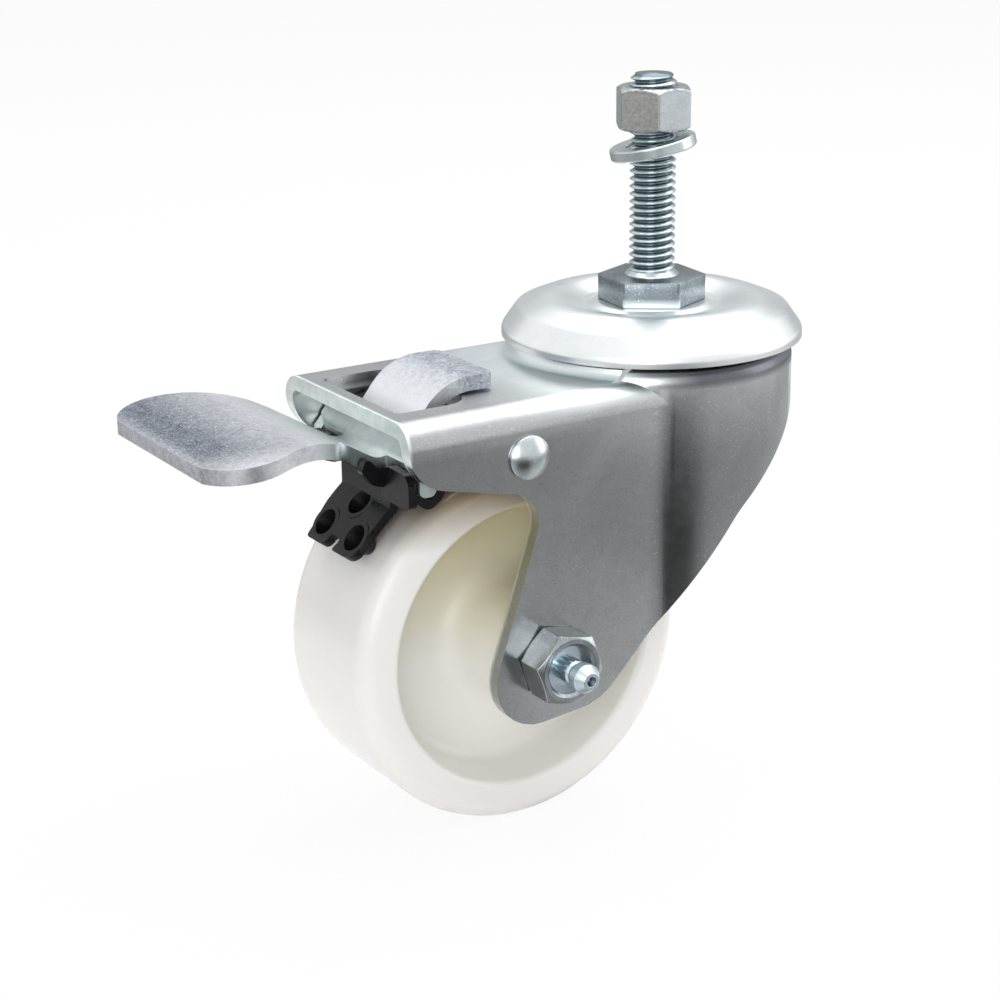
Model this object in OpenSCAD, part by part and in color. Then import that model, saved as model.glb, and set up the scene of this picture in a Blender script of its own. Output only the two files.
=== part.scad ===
// Threaded stem castor: a hard white wheel in a drawn sheet fork that swivels on two ball tracks,
// a foot lever that brakes the wheel and locks the swivel, and a nut and lock washer on the stem.
// The origin is on the swivel axis at the seat on top of the hexagon, +Z is up the stem,
// and the foot lever points along -X.

/* [Stem] */
// Major diameter of the stem thread
thread_d = 9.525; // [9:0.005:10]
// Pitch of the stem thread
thread_pitch = 1.5875; // [1:0.0125:1.8]
// Length of the stem above the hexagon
stem_len = 41.5; // [38:0.5:50]
// Length of the eased upper end of the thread, which the nut starts on
lead_len = 18.5; // [16:0.5:20]
// Radial ease of the upper end of the thread
lead_ease = 0.08; // [0.06:0.01:0.09]
// Height of the taper from the full thread to the eased thread
lead_taper = 1; // [0.6:0.1:1.5]
// Size of the hexagon across its flats
hex_af = 19.6; // [18:0.1:22]
// Height of the hexagon
hex_h = 5.4; // [4:0.1:8]
// Turn of the hexagon about the stem
hex_turn = -36; // [-60:1:60]
// Flare where the stem meets the hexagon
stem_flare = 0.9; // [0.4:0.1:1.4]
// Diameter of the kingpin below the hexagon
kingpin_d = 15.875; // [14:0.005:16.5]
// Height of the peened end of the kingpin
peen_h = 2.6; // [1.5:0.1:4]
// Spread of the peened end past the kingpin
peen_spread = 2.2; // [1:0.1:3]

/* [Swivel head] */
// Sheet of the pressed top race
race_t = 2.6; // [2:0.1:3]
// Outer diameter of the top race
race_d = 63; // [61:0.5:68]
// Diameter of the crease outside the raised bead
crease_d = 56.8; // [55:0.1:58]
// Diameter of the crest of the raised bead, over the ball circle
bead_d = 42.4; // [42:0.1:43]
// Diameter of the valley between the hexagon and the bead
valley_d = 28; // [27:0.1:29]
// Depth of the valley below the seat of the hexagon
valley_drop = 1; // [0.5:0.1:1.4]
// Slope of the two sides of the bead
bead_slope = 22; // [18:1:24]
// Bend radius over the bead
bead_bend = 10; // [8:0.5:12]
// Depth of the rim below the crease
rim_drop = 6; // [4:0.1:6.2]
// Diameter of the upper balls
upper_ball_d = 6.35; // [5.5:0.05:6.4]
// Number of upper balls
upper_balls_n = 20; // [12:1:20]
// Diameter of the lower balls
lower_ball_d = 4.76; // [4:0.01:5]
// Number of lower balls
lower_balls_n = 17; // [10:1:17]
// Diameter of the lower ball circle
lower_circle_d = 29; // [28:0.1:30]
// Play between the balls and their tracks
ball_play = 0.15; // [0.1:0.01:0.25]
// Depth of the ball tracks in the fork and the lower race
track_depth = 0.5; // [0.3:0.05:0.8]
// Thickness of the lower race
lower_race_t = 3; // [2.6:0.1:3.6]
// Diameter of the lower race
lower_race_d = 35; // [34:0.5:36]
// Thickness of the notched lock ring
ring_t = 3; // [2.5:0.1:3.4]
// Diameter of the notched lock ring
ring_d = 41; // [40.4:0.1:41.2]
// Number of notches in the lock ring
notch_n = 24; // [12:12:24]
// Width of one notch
notch_w = 2.5; // [2.3:0.1:3]
// Depth of one notch
notch_depth = 3.1; // [2.8:0.1:3.6]

/* [Fork] */
// Sheet of the drawn fork
fork_t = 3; // [2.4:0.1:3.2]
// Outer width over the two legs
fork_w = 50; // [49:0.5:54]
// Reach of the fork in front of the swivel axis
fork_front = 73.5; // [72:0.1:76]
// Diameter of the round head of the fork
head_d = 59; // [57:0.1:60]
// Rise of the round head above the flat top
head_rise = 2.5; // [1.5:0.1:3]
// Outer bend radius between the top and the legs
leg_bend = 5; // [4:0.1:6]
// Outer bend radius round the head
head_bend = 3.4; // [3.2:0.1:4.5]
// Hollow radius at the foot of the raised head
head_foot = 2.3; // [1:0.1:2.4]
// Hollow radius where the legs swell out into the head
waist_bend = 12; // [8:0.5:16]
// Hole for the kingpin
king_hole_d = 18; // [17.4:0.1:20]
// Distance of the axle in front of the swivel axis
axle_back = 41.9; // [40:0.1:44]
// Drop of the top of the tread below the stem seat
tread_drop = 30.6; // [30:0.1:34]
// Front edge of the slot for the release tab, in front of the swivel axis
slot_front = 70.3; // [70:0.1:71]
// Rear edge of the slot for the release tab, in front of the swivel axis
slot_rear = 53.5; // [53:0.1:53.6]
// Width of the slot for the release tab
slot_w = 30.4; // [28:0.1:32]

/* [Wheel] */
// Diameter of the tread
wheel_d = 76.2; // [72:0.1:76.2]
// Width of the wheel over its rims
wheel_w = 31.75; // [28:0.05:32]
// Radius of the tread edges
tread_edge = 3.9; // [2:0.1:5]
// Inner diameter of the rim at its lip
lip_d = 59.6; // [56:0.1:62]
// Inner diameter of the rim at the web
rim_root_d = 56; // [52:0.1:57]
// Thickness of the web
web_t = 9.5; // [7:0.1:12]
// Diameter of the hub at its face
hub_d = 21; // [20:0.1:24]
// Diameter of the hub at the web
hub_root_d = 24; // [22:0.1:27]
// Gap between the hub and the legs, each side
hub_gap = 0.6; // [0.4:0.1:1]
// Radial running fit of the wheel on its bush
wheel_fit = 0.08; // [0.05:0.01:0.1]

/* [Axle] */
// Diameter of the axle bolt
axle_d = 10; // [9:0.1:10]
// Outer diameter of the spanner bush
bush_d = 12.7; // [12:0.1:13.2]
// Size of the axle nut and bolt head across their flats
axle_af = 13.8; // [13.4:0.1:15]
// Height of the axle nut
axle_nut_h = 7.3; // [6.6:0.1:9]
// Height of the bolt head
axle_head_h = 6.2; // [5:0.1:7]
// Depth of the bolt end inside the nut
bolt_inset = 2.6; // [1.5:0.1:3.5]
// Turn of the nut about the axle
axle_nut_turn = 48; // [0:1:60]
// Reach of the grease fitting out of the nut
fitting_reach = 6.8; // [5.8:0.1:8]
// Diameter of the fitting's head
fitting_head_d = 6; // [5.8:0.1:7]
// Diameter of the fitting's neck
fitting_neck_d = 5.2; // [5:0.1:5.6]
// Diameter of the grease way
grease_way_d = 2.6; // [2:0.1:2.8]

/* [Foot lever] */
// Sheet of the foot lever
lever_t = 3; // [2.6:0.1:3]
// Distance of the lever pivot in front of the swivel axis
pivot_back = 47; // [46.5:0.1:47.5]
// Drop of the lever pivot below the stem seat
pivot_drop = 25.6; // [25.4:0.1:25.8]
// Diameter of the pivot rivet
rivet_d = 6.6; // [6:0.1:6.6]
// Diameter of the rivet heads
rivet_head_d = 8.9; // [8:0.1:10]
// Height of the rivet heads
rivet_head_h = 2.3; // [1.6:0.1:3]
// Running fit of the lever on the rivet
pivot_fit = 0.08; // [0.05:0.01:0.1]
// Reach of the pedal in front of the swivel axis
pedal_front = 113; // [106:0.5:118]
// Width of the pedal
pedal_w = 52.4; // [48:0.1:54]
// Width of the pedal's neck
neck_w = 17; // [15:0.5:18]
// Width of the release tab
tab_w = 21.4; // [18:0.1:24]
// Side gap between the lever and the legs
lever_gap = 0.6; // [0.4:0.1:0.8]

/* [Brake leaf] */
// Sheet of the brake leaf
leaf_t = 1.8; // [1.5:0.1:1.8]
// Width of the brake shoe
shoe_w = 19.6; // [19.4:0.1:20.4]
// Gap between the shoe and the tread
shoe_gap = 2.9; // [2.6:0.1:3.2]
// Clearance of the pierced teeth over the tread
tooth_gap = 0.35; // [0.3:0.05:0.6]
// Width of the slot between the two prongs
prong_slot_w = 3.6; // [3:0.1:4]
// Width of the tooth that locks the swivel
lock_tooth_w = 2; // [1.6:0.1:2]

/* [Mounting hardware] */
// Size of the stem nut across its flats
nut_af = 14.29; // [14:0.01:16]
// Height of the stem nut
nut_h = 8.9; // [8:0.1:9.6]
// Height of the nut's lower face above the stem seat
nut_z = 30.1; // [29.8:0.1:32]
// Turn of the nut about the stem
nut_turn = 2; // [0:1:60]
// Radial clearance of the nut on the stem
nut_fit = 0.015; // [0.01:0.005:0.08]
// Outer diameter of the lock washer
washer_d = 18; // [16.5:0.1:19]
// Hole of the lock washer
washer_hole_d = 10.9; // [10.8:0.1:11.2]
// Thickness of the lock washer
washer_t = 2.4; // [1.6:0.1:2.6]
// Tilt of the loose lock washer
washer_tilt = 12; // [8:1:14]
// Height of the middle of the loose lock washer
washer_z = 26.5; // [25:0.1:28]

/* [Hidden] */
$fn = 64;

// Overrun that lets a cut pass clean through a face
cut = 1;
// Points along one rounded corner
steps = 8;
// Length over which a section is drawn before it is trimmed
tall = 130;
// Width of the slit in the split lock washer
split_angle = 8;

// Heights, counted down from the stem seat
race_seat_z = -hex_h;
kingpin_r = kingpin_d / 2;
valley_z = race_seat_z - valley_drop;
bead_r = bead_d / 2;
bead_corner_z = valley_z + (bead_d - valley_d) / 2 * tan(bead_slope);
bead_top_z = bead_corner_z - bead_bend * (1 / cos(bead_slope) - 1);
crease_z = bead_corner_z - (crease_d - bead_d) / 2 * tan(bead_slope);
upper_ball_z = bead_top_z - race_t - ball_play - upper_ball_d / 2;
head_top_z = upper_ball_z - upper_ball_d / 2 - ball_play + track_depth;
fork_top_z = head_top_z - head_rise;
lower_ball_z = head_top_z - fork_t + track_depth - ball_play - lower_ball_d / 2;
lower_race_z = lower_ball_z - lower_ball_d / 2 - ball_play + track_depth;
ring_z = lower_race_z - lower_race_t;
peen_z = ring_z - ring_t;

// The sheet form of the fork
leg_in = fork_w / 2 - fork_t;
head_r = head_d / 2;
waist_y = fork_w / 2 + waist_bend;
waist_x = -sqrt((head_r + waist_bend) ^ 2 - waist_y ^ 2);
axle_x = -axle_back;
axle_z = -tread_drop - wheel_d / 2;
pivot_x = -pivot_back;
pivot_z = -pivot_drop;

// Places along the axle, counted out from the middle of the wheel
leg_out = fork_w / 2;
nut_out = leg_out + axle_nut_h;
bolt_end = nut_out - bolt_inset;
fitting_end = nut_out + fitting_reach;
fitting_root = bolt_end - 5;

// The lever between the legs
lever_half = leg_in - lever_gap;
flange_in = lever_half - lever_t;
tab_bottom_gap = 0.7;
web_front = -69.1;
tab_top_z = fork_top_z + tab_bottom_gap + lever_t;

// The brake leaf
shoe_out = wheel_d / 2 + shoe_gap + leaf_t;
fold_angle = 129.8;
leaf_front = axle_x + shoe_out * cos(fold_angle);
leaf_top_z = -29.3;
ear_out = flange_in - 0.3;
clip_front = -76;
tab_front = -71.3;
tab_out = 20.6;
tip_angle = 143;
tip_reach = 3.1;
notch_reach = 0.3;
saddle_r = rivet_d / 2 + 0.3 + leaf_t;
lock_tooth_end = notch_depth - 0.6 - ring_d / 2;
tail_z = peen_z + (ring_t + leaf_t) / 2;

function unit(v) = v / norm(v);
function half_turn(a) = a > 180 ? a - 360 : a < -180 ? a + 360 : a;

// One rounded corner at b between a and c, with the radius in the third number of b
function corner(a, b, c) =
    b[2] == 0 ? [[b[0], b[1]]] :
    let (
        p = [b[0], b[1]],
        u = unit([a[0], a[1]] - p),
        w = unit([c[0], c[1]] - p),
        half = acos(u * w) / 2,
        o = p + unit(u + w) * b[2] / sin(half),
        start = p + u * b[2] / tan(half) - o,
        end = p + w * b[2] / tan(half) - o,
        from = atan2(start[1], start[0]),
        sweep = half_turn(atan2(end[1], end[0]) - from)
    )
    [for (i = [0:steps]) o + b[2] * [cos(from + sweep * i / steps), sin(from + sweep * i / steps)]];

// An open run of points with rounded corners
function run(p) = concat(
    [[p[0][0], p[0][1]]],
    [for (i = [1:len(p) - 2]) each corner(p[i - 1], p[i], p[i + 1])],
    [[p[len(p) - 1][0], p[len(p) - 1][1]]]);

// A closed outline with rounded corners
function outline(p) = let (n = len(p))
    [for (i = [0:n - 1]) each corner(p[(i + n - 1) % n], p[i], p[(i + 1) % n])];

// A sheet of thickness t on the right-hand side of a run of points
function normal_at(p, i) =
    let (
        a = i == 0 ? p[0] : p[i - 1],
        b = i == len(p) - 1 ? p[i] : p[i + 1],
        before = i == 0 ? unit(p[1] - p[0]) : unit(p[i] - a),
        after = i == len(p) - 1 ? before : unit(b - p[i]),
        m = unit(before + after)
    )
    [m[1], -m[0]] / (m * before);
function sheet(p, t) = concat(p, [for (i = [len(p) - 1:-1:0]) p[i] + t * normal_at(p, i)]);

// Draws an outline of X and Z as a solid w wide about the middle plane
module across(w) {
    rotate([90, 0, 0]) linear_extrude(w, center = true) children();
}

// Turns a profile of radius and height about the axle, with its height along -Y
module about_axle(x, z) {
    translate([x, 0, z]) rotate([90, 0, 0]) children();
}

// Stem, hexagon and kingpin, turned from one bar and peened over at its lower end
module stem() {
    r = thread_d / 2;
    chamfer = thread_pitch * 0.62;
    color("lightsteelblue") union() {
        rotate_extrude() polygon([
            [0, peen_z - peen_h],
            [kingpin_r + peen_spread * 0.4, peen_z - peen_h],
            [kingpin_r + peen_spread, peen_z - peen_h * 0.45],
            [kingpin_r + peen_spread, peen_z],
            [kingpin_r, peen_z],
            [kingpin_r, race_seat_z + hex_h / 2],
            [r + stem_flare, race_seat_z + hex_h / 2],
            [r + stem_flare, 0],
            [r + stem_flare * 0.35, stem_flare * 0.45],
            [r, stem_flare * 1.3],
            [r, stem_len - lead_len],
            [r - lead_ease, stem_len - lead_len + lead_taper],
            [r - lead_ease, stem_len - chamfer],
            [r - lead_ease - chamfer, stem_len],
            [0, stem_len]
        ]);
        rotate([0, 0, hex_turn]) translate([0, 0, race_seat_z])
            cylinder(h = hex_h, d = hex_af / cos(30), $fn = 6);
    }
}

// Pressed dish under the hexagon, whose bead is the upper ball track
module top_race() {
    profile = run([
        [kingpin_r + 0.05, race_seat_z],
        [hex_af / 2 / cos(30) + 0.4, race_seat_z, 3],
        [valley_d / 2, valley_z, 2.8],
        [bead_r, bead_corner_z, bead_bend],
        [crease_d / 2, crease_z, 3],
        [race_d / 2, crease_z - rim_drop * 0.72, 3],
        [race_d / 2, crease_z - rim_drop]
    ]);
    color("gainsboro") rotate_extrude() polygon(sheet(profile, race_t));
}

// A ring of balls
module balls(n, d, circle_d, z) {
    for (i = [0:n - 1]) rotate([0, 0, 360 / n * (i + 0.5)]) translate([circle_d / 2, 0, z])
        sphere(d = d);
}

module upper_balls() {
    color("silver") balls(upper_balls_n, upper_ball_d, bead_d, upper_ball_z);
}

module lower_balls() {
    color("silver") balls(lower_balls_n, lower_ball_d, lower_circle_d, lower_ball_z);
}

// A round groove that a ring of balls runs in
module ball_track(d, circle_d, z) {
    rotate_extrude() translate([circle_d / 2, z]) circle(r = d / 2 + ball_play);
}

// Dished washer under the fork head, with the lower ball track
module lower_race() {
    color("lightgray") difference() {
        translate([0, 0, ring_z]) cylinder(h = lower_race_t, d = lower_race_d);
        translate([0, 0, ring_z - cut])
            cylinder(h = lower_race_t + 2 * cut, d = kingpin_d + 0.1);
        ball_track(lower_ball_d, lower_circle_d, lower_ball_z);
    }
}

// Notched ring that the lock tooth of the brake leaf enters from below
module lock_ring() {
    color("lightgray") translate([0, 0, peen_z]) linear_extrude(ring_t) difference() {
        circle(d = ring_d);
        circle(d = kingpin_d + 0.1);
        for (i = [0:notch_n - 1]) rotate(360 / notch_n * i)
            translate([ring_d / 2 - notch_depth, -notch_w / 2]) square([notch_depth + cut, notch_w]);
    }
}

// Section of the fork's channel, shrunk by o, with the bend radius left over at its top corners
module channel_section(half, top, bend) {
    translate([-half, -tall]) square([2 * half, tall + top - bend]);
    translate([bend - half, -tall]) square([2 * (half - bend), tall + top]);
    for (s = [-1, 1]) translate([s * (half - bend), top - bend]) circle(bend);
}

// The hollow blend between one leg and the round head, shrunk by o
module waist(o) {
    r = waist_bend + o;
    bend = leg_bend - o;
    top = fork_top_z - o;
    difference() {
        translate([0, 0, -tall]) linear_extrude(tall + top) difference() {
            polygon([[waist_x, 0], [0, 0], [waist_x, waist_y]]);
            translate([waist_x, waist_y]) circle(r);
        }
        translate([waist_x, waist_y]) rotate_extrude() difference() {
            translate([r - 0.5, top - bend]) square([bend + 0.5, bend + cut]);
            translate([r + bend, top - bend]) circle(bend);
        }
    }
}

// The drawn form of the fork, shrunk by o: a channel that swells out into a round head
module fork_form(o, front) {
    translate([-front, 0, 0]) rotate([90, 0, 90]) linear_extrude(front)
        channel_section(fork_w / 2 - o, fork_top_z - o, leg_bend - o);
    rotate_extrude() intersection() {
        channel_section(head_r - o, head_top_z - o, head_bend - o);
        translate([0, -tall]) square([head_r + cut, 2 * tall]);
    }
    waist(o);
    mirror([0, 1, 0]) waist(o);
    intersection() {
        rotate_extrude() difference() {
            translate([head_r - o - 2, fork_top_z - o - 2]) square(head_foot + 2);
            translate([head_r - o + head_foot, fork_top_z - o + head_foot]) circle(head_foot);
        }
        translate([-tall, leg_bend - fork_w / 2, -tall]) cube([tall, fork_w - 2 * leg_bend, 2 * tall]);
    }
}

// Side outline that trims the legs and the skirt of the head
module leg_outline() {
    polygon(outline([
        [-fork_front, 0, 0],
        [-fork_front, -27.3, 9.5],
        [axle_x - 0.8, -34.3, 7],
        [axle_x - 17.4, axle_z - 14.6, 10],
        [axle_x + 11.8, axle_z - 11.8, 13],
        [-14.4, -64.6, 18],
        [1, -44.6, 20],
        [head_r + 3, -18.2, 0],
        [head_r + 3, 0, 0]
    ]));
}

// Slot in the top that the release tab rises through
module tab_slot() {
    polygon(outline([
        [-slot_front, -slot_w / 2, 1.5],
        [-slot_rear, -slot_w / 2, 5.5],
        [-slot_rear, slot_w / 2, 5.5],
        [-slot_front, slot_w / 2, 1.5]
    ]));
}

// Fork drawn from one sheet, with its head between the two ball tracks
module fork() {
    color("silver") difference() {
        intersection() {
            difference() {
                fork_form(0, fork_front);
                fork_form(fork_t, fork_front + cut);
            }
            across(fork_w + 40) leg_outline();
        }
        translate([0, 0, head_top_z - fork_t - cut])
            cylinder(h = fork_t + 2 * cut, d = king_hole_d);
        ball_track(upper_ball_d, bead_d, upper_ball_z);
        ball_track(lower_ball_d, lower_circle_d, lower_ball_z);
        translate([0, 0, fork_top_z - fork_t - cut]) linear_extrude(fork_t + 2 * cut) tab_slot();
        about_axle(axle_x, axle_z) cylinder(h = fork_w + 2 * cut, d = axle_d + 0.1, center = true);
        about_axle(pivot_x, pivot_z) cylinder(h = fork_w + 2 * cut, d = rivet_d, center = true);
    }
}

// One-piece moulded wheel: rounded tread, drafted rim, dished web and a hub with a deep root
module wheel() {
    half = wheel_w / 2;
    hub_half = leg_in - hub_gap;
    bore = bush_d / 2 + wheel_fit;
    side = outline([
        [bore, 0, 0],
        [bore, hub_half, 0.4],
        [hub_d / 2, hub_half, 1],
        [hub_root_d / 2, web_t / 2, 6],
        [rim_root_d / 2, web_t / 2 + 0.6, 3.4],
        [lip_d / 2, half, 1.4],
        [wheel_d / 2, half, tread_edge],
        [wheel_d / 2, 0, 0]
    ]);
    color("ivory") about_axle(axle_x, axle_z) rotate_extrude()
        polygon(concat(side, [for (i = [len(side) - 2:-1:1]) [side[i][0], -side[i][1]]]));
}

// Hard bush clamped between the legs, which the wheel turns on
module spanner_bush() {
    color("lightgray") about_axle(axle_x, axle_z) rotate_extrude()
        translate([axle_d / 2 + 0.05, -leg_in + 0.02])
            square([(bush_d - axle_d) / 2 - 0.05, 2 * leg_in - 0.04]);
}

// A hexagon across its flats with both ends bevelled, from height lo to height hi
module hexagon(af, lo, hi, turn, low_bevel = 1) {
    corner_r = af / 2 / cos(30);
    bevel = corner_r - af / 2 * 0.94;
    intersection() {
        rotate([0, 0, turn]) translate([0, 0, lo]) cylinder(h = hi - lo, r = corner_r, $fn = 6);
        rotate_extrude() polygon([
            [0, lo],
            [corner_r - bevel * low_bevel, lo],
            [corner_r + 0.01, lo + bevel * low_bevel * tan(30)],
            [corner_r + 0.01, hi - bevel * tan(30)],
            [corner_r - bevel, hi],
            [0, hi]
        ]);
    }
}

// Hollow axle bolt with its head on the far leg and a grease way to the bush
module axle_bolt() {
    color("lightgray") about_axle(axle_x, axle_z) difference() {
        union() {
            translate([0, 0, -leg_out - cut]) cylinder(h = leg_out + bolt_end + cut, d = axle_d);
            mirror([0, 0, 1]) hexagon(axle_af, leg_out, leg_out + axle_head_h, 12, 0);
        }
        translate([0, 0, fitting_root]) cylinder(h = bolt_end - fitting_root + cut, d = fitting_neck_d + 0.04);
        cylinder(h = bolt_end, d = grease_way_d);
        translate([-axle_d, 0, grease_way_d]) rotate([0, 90, 0])
            cylinder(h = 2 * axle_d, d = grease_way_d * 0.8);
    }
}

// Axle nut, countersunk at both faces
module axle_nut() {
    r = axle_d / 2 + 0.05;
    sink = 0.6;
    color("silver") about_axle(axle_x, axle_z) difference() {
        hexagon(axle_af, leg_out, nut_out, axle_nut_turn);
        translate([0, 0, leg_out - cut]) cylinder(h = axle_nut_h + 2 * cut, r = r);
        translate([0, 0, nut_out - sink]) cylinder(h = sink, r1 = r, r2 = r + sink);
        translate([0, 0, leg_out]) cylinder(h = sink, r1 = r + sink, r2 = r);
    }
}

// Grease fitting pressed into the end of the axle bolt
module grease_fitting() {
    head = fitting_head_d / 2;
    neck = fitting_neck_d / 2;
    hole = grease_way_d / 2;
    mouth = 1;
    color("lightsteelblue") about_axle(axle_x, axle_z) rotate_extrude() polygon([
        [hole, fitting_root],
        [neck, fitting_root],
        [neck, nut_out + 1.3],
        [neck - 0.35, nut_out + 1.9],
        [neck - 0.35, nut_out + 2.4],
        [head, nut_out + 3.1],
        [head, fitting_end - 1.8],
        [head - 0.45, fitting_end - 1.1],
        [1.75, fitting_end],
        [mouth, fitting_end],
        [mouth, fitting_end - 0.9],
        [hole, fitting_end - 1.3]
    ]);
}

// Check ball behind the mouth of the grease fitting
module fitting_ball() {
    d = grease_way_d - 0.2;
    color("silver") about_axle(axle_x, axle_z)
        translate([0, 0, fitting_end - 1.35 - d / 2]) sphere(d = d);
}

// Upper face of the lever from the pedal's front edge to the end of the release tab
function lever_run() = run([
    [-pedal_front, -17.8],
    [-89.3, -15.2, 30],
    [-69.5, -26.9, 4],
    [-57.4, tab_top_z, 13],
    [pivot_x + cut + 1.2, tab_top_z - 0.2]
]);

// Half of the lever's flat outline, from the pedal's front edge back to the tab
function lever_side(s) = [
    [-pedal_front, s * (pedal_w / 2 - 6.4), 10],
    [-pedal_front + 7.2, s * (pedal_w / 2 + 2.1), 9],
    [-84.6, s * (pedal_w / 2 - 8.2), 5],
    [-79.2, s * (neck_w / 2 + 0.3), 5],
    [web_front, s * neck_w / 2, 0.6],
    [web_front, s * (lever_half - 5), 3],
    [-67.4, s * lever_half, 0],
    [-66, s * lever_half, 0],
    [-66, s * tab_w / 2, 0],
    [pivot_x + 1.2, s * tab_w / 2, 1.6]
];

// Cheek of the lever beside one leg: it carries the pivot, and its front end hangs as a finger
module cheek_outline() {
    polygon(outline([
        [-69.4, -31, 1.5],
        [-69.2, -26.8, 1.6],
        [-67.6, -25, 1],
        [-66, -23.2, 1],
        [-61, -22.3, 6],
        [pivot_x - 2, pivot_z + 5.8, 4],
        [pivot_x + 6.2, pivot_z + 5.8, 5.6],
        [pivot_x + 6.2, pivot_z - 6.2, 6],
        [-52, -31.4, 6],
        [-65.2, -28.4, 1.5],
        [-66, -31, 1.4]
    ]));
}

// Foot lever stamped from one sheet: pedal, neck, sloping web, release tab and two cheeks
module brake_lever() {
    left = lever_side(1);
    right = lever_side(-1);
    plan = outline(concat(right, [for (i = [len(left) - 1:-1:0]) left[i]]));
    color("silver") difference() {
        union() {
            intersection() {
                across(pedal_w + 2) polygon(sheet(lever_run(), lever_t));
                translate([0, 0, -tall / 2]) linear_extrude(tall) polygon(plan);
            }
            for (s = [-1, 1]) translate([0, s * (lever_half - lever_t / 2), 0])
                across(lever_t) cheek_outline();
        }
        about_axle(pivot_x, pivot_z)
            cylinder(h = fork_w, d = rivet_d + 2 * pivot_fit, center = true);
    }
}

function about(x, z, r, a) = [x + r * cos(a), z + r * sin(a)];

// Outer face of the brake leaf, from the prong tips up over the rivet to the lock tooth
function leaf_run() = concat(
    run([
        about(axle_x, axle_z, shoe_out + 1.5, 148),
        concat(about(axle_x, axle_z, shoe_out, 145), 4),
        about(axle_x, axle_z, shoe_out, 143)
    ]),
    [for (a = [142:-2:132]) about(axle_x, axle_z, shoe_out, a)],
    run([
        about(axle_x, axle_z, shoe_out, fold_angle + 1.2),
        concat(about(axle_x, axle_z, shoe_out, fold_angle), 0.6),
        [leaf_front, leaf_top_z, 2.1],
        [-62.6, leaf_top_z, 3],
        [pivot_x - saddle_r, -22, 3],
        [pivot_x, pivot_z + saddle_r + 0.2, 3],
        [pivot_x + saddle_r, -22, 3],
        [pivot_x + 9, tail_z, 3],
        [lock_tooth_end, tail_z]
    ]));

// One pierced tooth, at angle a round the axle and y along it
module pierced_burr(a, y) {
    reach = leaf_t + shoe_gap - tooth_gap;
    translate([axle_x, y, axle_z]) rotate([0, -a, 0]) translate([shoe_out, 0, 0]) rotate([0, -90, 0])
        cylinder(h = reach, r1 = 3.8, r2 = 1.7);
}
module pierced_hole(a, y) {
    reach = leaf_t + shoe_gap - tooth_gap;
    translate([axle_x, y, axle_z]) rotate([0, -a, 0]) translate([shoe_out + 0.2, 0, 0])
        rotate([0, -90, 0]) cylinder(h = reach + 0.4, r1 = 2.9, r2 = 0.9);
}

// Flat outline of the shoe, seen from the axle: two prongs with rounded tips and a notch between
module prong_outline() {
    half = shoe_w / 2;
    slot = prong_slot_w / 2;
    translate([axle_x, 0, axle_z]) rotate([0, -tip_angle, 0]) rotate([90, 0, 90])
        translate([0, 0, -20]) linear_extrude(80) polygon(outline([
            [-half - 1, -90, 0], [-half, -5, 3], [-half + 0.9, tip_reach, 2.2],
            [-slot, tip_reach, 1.2], [-slot, notch_reach, 0.8],
            [slot, notch_reach, 0.8], [slot, tip_reach, 1.2],
            [half - 0.9, tip_reach, 2.2], [half, -5, 3], [half + 1, -90, 0]
        ]));
}

// Brake leaf of black spring sheet: toothed shoe, clip round the lever's neck and lock tooth
module brake_leaf() {
    half = shoe_w / 2;
    holes = [[132.4, 0], [141.4, 5.9], [141.4, -5.9]];
    plan = outline([
        [-84, -half, 0], [-60, -half, 2], [-57, -7.5, 2], [-29, -6, 3], [-23, -lock_tooth_w / 2, 0],
        [-16, -lock_tooth_w / 2, 0], [-16, lock_tooth_w / 2, 0], [-23, lock_tooth_w / 2, 0],
        [-29, 6, 3], [-57, 7.5, 2], [-60, half, 2], [-84, half, 0]
    ]);
    color("dimgray") difference() {
        union() {
            intersection() {
                across(shoe_w + 2) polygon(sheet(leaf_run(), leaf_t));
                translate([0, 0, -tall / 2]) linear_extrude(tall) polygon(plan);
                prong_outline();
            }
            intersection() {
                for (h = holes) pierced_burr(h[0], h[1]);
                translate([-90, -half, -60]) cube([40, shoe_w, 40]);
            }
            for (s = [-1, 1]) clip_wing(s);
        }
        for (h = holes) pierced_hole(h[0], h[1]);
    }
}

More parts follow.
